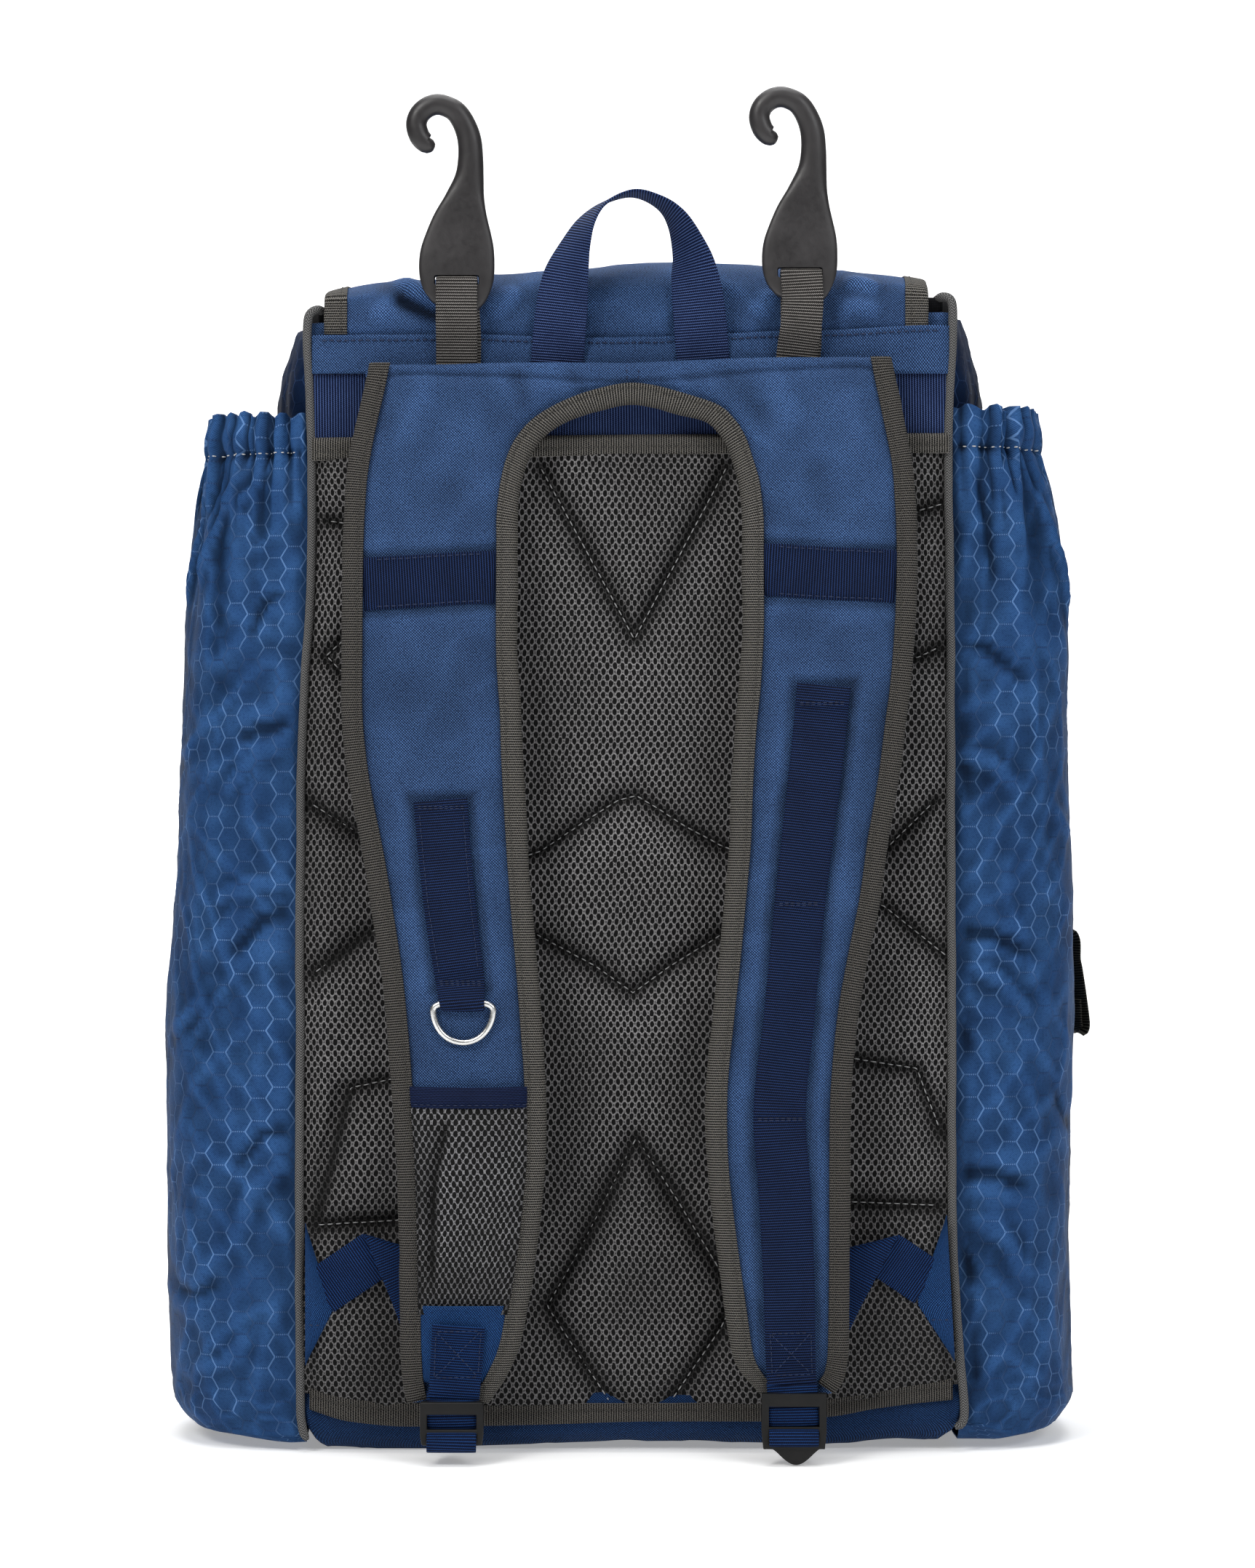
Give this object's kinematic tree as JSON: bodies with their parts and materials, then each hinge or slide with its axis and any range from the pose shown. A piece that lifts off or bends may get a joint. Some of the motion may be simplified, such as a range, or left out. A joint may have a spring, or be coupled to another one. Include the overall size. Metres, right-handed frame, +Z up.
{
  "type": "baseball bat backpack",
  "caption": "Upright soft backpack with a padded mesh back, contoured shoulder harness, open side sleeves for bats, top flap, haul handle and hanging hooks.",
  "frame": {"origin": "middle of the flat bottom that the bag stands on", "axes": "+Z up; the harness side that lies on the wearer's back faces -Y and the front faces +Y; +X to the right when looking at the harness"},
  "size_m": [0.4433, 0.2482, 0.6263],
  "materials": {
    "navy_polyester": "woven polyester",
    "ripstop": "shiny hexagon ripstop nylon",
    "navy_webbing": "ribbed webbing",
    "binding": "grosgrain",
    "spacer_mesh": "spacer mesh",
    "piping": "corded piping",
    "grey_webbing": "ribbed webbing",
    "black_webbing": "ribbed webbing",
    "black_lining": "plain lining",
    "hook_plastic": "matte black",
    "buckle_plastic": "satin black",
    "ring_steel": "satin nickel"
  },
  "bodies": {
    "root": {"bag_body": "navy_polyester", "top_collar": "black_lining", "top_flap": "navy_polyester", "flap_binding_left": "binding", "flap_binding_right": "binding", "flap_binding_front": "binding", "top_webbing_band": "navy_webbing", "back_pad": "spacer_mesh", "back_binding_top": "binding", "back_binding_bottom": "binding", "piping_left": "piping", "piping_right": "piping", "side_pocket_left": "ripstop", "side_pocket_right": "ripstop", "harness_yoke": "navy_polyester", "strap_binding_left": "binding", "strap_binding_right": "binding", "strap_binding_arch": "binding", "crossbar_left": "navy_webbing", "crossbar_right": "navy_webbing", "long_webbing": "navy_webbing", "d_ring_webbing": "navy_webbing", "d_ring": "ring_steel", "strap_pocket_mesh": "spacer_mesh", "strap_pocket_band": "navy_webbing", "strap_lower_patch": "navy_polyester", "box_webbing_left": "navy_webbing", "ladder_lock_left": "buckle_plastic", "ladder_lock_right": "buckle_plastic", "lower_webbing_left": "navy_webbing", "lower_webbing_right": "navy_webbing", "corner_tab_left": "navy_polyester", "corner_tab_right": "navy_polyester", "fence_hook_left": "hook_plastic", "fence_hook_right": "hook_plastic", "hook_webbing_left": "grey_webbing", "hook_webbing_right": "grey_webbing", "haul_handle": "navy_webbing", "side_strap_tail": "black_webbing"}
  },
  "joints": []
}
